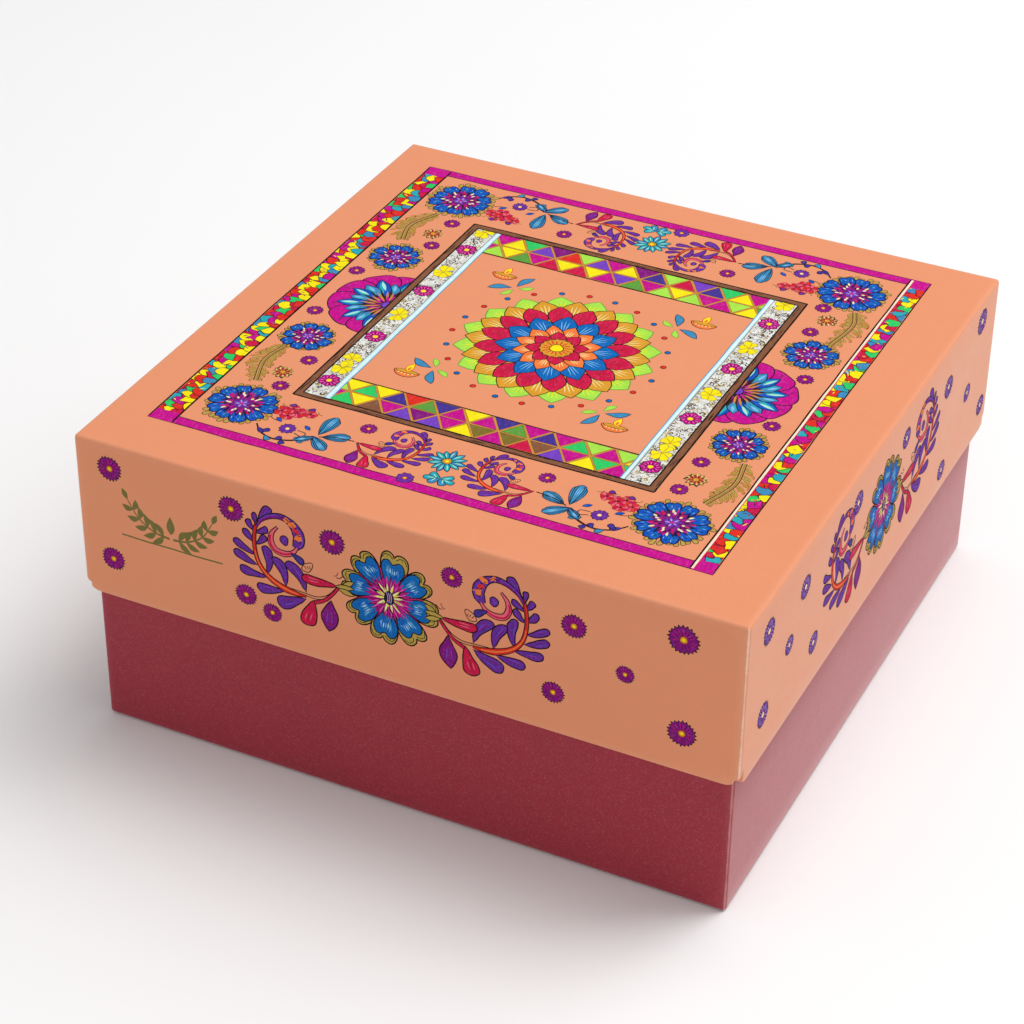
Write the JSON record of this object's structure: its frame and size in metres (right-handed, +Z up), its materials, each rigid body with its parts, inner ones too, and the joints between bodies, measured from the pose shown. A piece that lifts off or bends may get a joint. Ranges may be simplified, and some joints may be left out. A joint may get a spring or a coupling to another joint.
{
  "type": "sweet box",
  "caption": "Square rigid gift box for sweets: a papered board tray with a deep lift-off lid and a loose divider grid inside.",
  "frame": {"origin": "middle of the closed box's footprint, on the surface that it stands on", "axes": "+Z up through the lid, +X to the right as seen from the front, -Y out of the front face"},
  "size_m": [0.204, 0.204, 0.099],
  "materials": {
    "greyboard": "raw grey board",
    "corner_tape": "brown gummed paper",
    "tray_wrap_paper": "maroon embossed paper",
    "lid_wrap_paper": "peach printed matt paper",
    "lining_paper": "ivory uncoated paper",
    "divider_card": "gold faced card",
    "greaseproof_paper": "translucent greaseproof paper"
  },
  "bodies": {
    "tray": {"tray_floor_board": "greyboard", "tray_board_front": "greyboard", "tray_board_back": "greyboard", "tray_board_left": "greyboard", "tray_board_right": "greyboard", "tray_corner_tapes": "corner_tape", "tray_wrap": "tray_wrap_paper", "tray_under_paper": "tray_wrap_paper", "tray_lining": "lining_paper", "greaseproof_sheet": "greaseproof_paper"},
    "lid": {"lid_top_board": "greyboard", "lid_board_front": "greyboard", "lid_board_back": "greyboard", "lid_board_left": "greyboard", "lid_board_right": "greyboard", "lid_corner_tapes": "corner_tape", "lid_wrap": "lid_wrap_paper", "lid_lining": "lining_paper"},
    "divider_grid": {"divider_long_1": "divider_card", "divider_long_2": "divider_card", "divider_cross_1": "divider_card", "divider_cross_2": "divider_card"}
  },
  "joints": [
    {"name": "lid_lift", "type": "slide", "parent": "tray", "child": "lid", "axis": [0, 0, 1], "range_m": [0, 0.16]},
    {"name": "divider_lift", "type": "slide", "parent": "tray", "child": "divider_grid", "axis": [0, 0, 1], "range_m": [0, 0.0345]}
  ]
}
